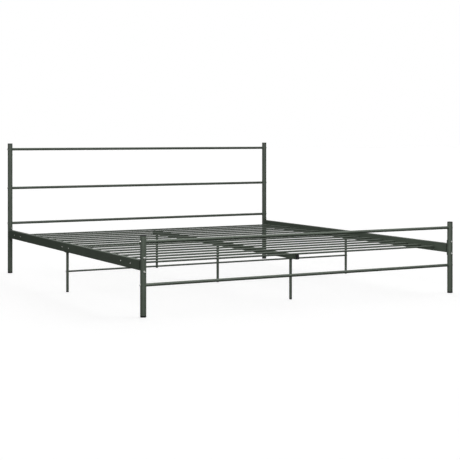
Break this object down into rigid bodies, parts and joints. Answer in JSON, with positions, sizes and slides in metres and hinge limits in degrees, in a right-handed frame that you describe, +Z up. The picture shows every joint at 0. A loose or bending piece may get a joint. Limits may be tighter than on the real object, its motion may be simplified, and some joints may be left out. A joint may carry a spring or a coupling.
{
  "type": "metal bed frame",
  "caption": "Low double bed frame in dark grey coated steel tube, with a barred headboard and footboard, round slats and a centre beam on legs.",
  "frame": {"origin": "on the floor, under the middle of the bed: the bottom centre of the bounding box", "axes": "+Z up; +Y from the footboard to the headboard, along the length; +X to the right when seen from the foot"},
  "size_m": [1.9006, 2.1066, 0.824],
  "materials": {
    "frame_coat": "fine matt powder coat",
    "black_plastic": "fine moulded grain",
    "zinc_steel": "bright zinc plate"
  },
  "bodies": {
    "root": {"centre_beam": "frame_coat", "centre_beam_cap_foot": "black_plastic", "centre_beam_cap_head": "black_plastic", "centre_leg_foot": "frame_coat", "centre_leg_foot_foot_cap": "black_plastic", "centre_leg_head": "frame_coat", "centre_leg_head_foot_cap": "black_plastic", "centre_leg_middle": "frame_coat", "centre_leg_middle_foot_cap": "black_plastic", "crossbar": "frame_coat", "crossbar_bolt_left": "zinc_steel", "crossbar_bolt_right": "zinc_steel", "foot_bar_low": "frame_coat", "foot_bar_top": "frame_coat", "foot_post_foot_cap_left": "black_plastic", "foot_post_foot_cap_right": "black_plastic", "foot_post_left": "frame_coat", "foot_post_right": "frame_coat", "foot_post_top_cap_left": "black_plastic", "foot_post_top_cap_right": "black_plastic", "head_bar_low": "frame_coat", "head_bar_middle": "frame_coat", "head_bar_top": "frame_coat", "head_post_foot_cap_left": "black_plastic", "head_post_foot_cap_right": "black_plastic", "head_post_left": "frame_coat", "head_post_right": "frame_coat", "head_post_top_cap_left": "black_plastic", "head_post_top_cap_right": "black_plastic", "rail_bolt_foot_left_lower": "zinc_steel", "rail_bolt_foot_left_upper": "zinc_steel", "rail_bolt_foot_right_lower": "zinc_steel", "rail_bolt_foot_right_upper": "zinc_steel", "rail_bolt_head_left_lower": "zinc_steel", "rail_bolt_head_left_upper": "zinc_steel", "rail_bolt_head_right_lower": "zinc_steel", "rail_bolt_head_right_upper": "zinc_steel", "side_leg_left": "frame_coat", "side_leg_left_foot_cap": "black_plastic", "side_leg_right": "frame_coat", "side_leg_right_foot_cap": "black_plastic", "side_rail_left": "frame_coat", "side_rail_right": "frame_coat", "slat_01": "frame_coat", "slat_02": "frame_coat", "slat_03": "frame_coat", "slat_04": "frame_coat", "slat_05": "frame_coat", "slat_06": "frame_coat", "slat_07": "frame_coat", "slat_08": "frame_coat", "slat_09": "frame_coat", "slat_10": "frame_coat", "slat_11": "frame_coat", "slat_12": "frame_coat", "slat_13": "frame_coat", "slat_14": "frame_coat", "slat_15": "frame_coat", "slat_16": "frame_coat"}
  },
  "joints": []
}
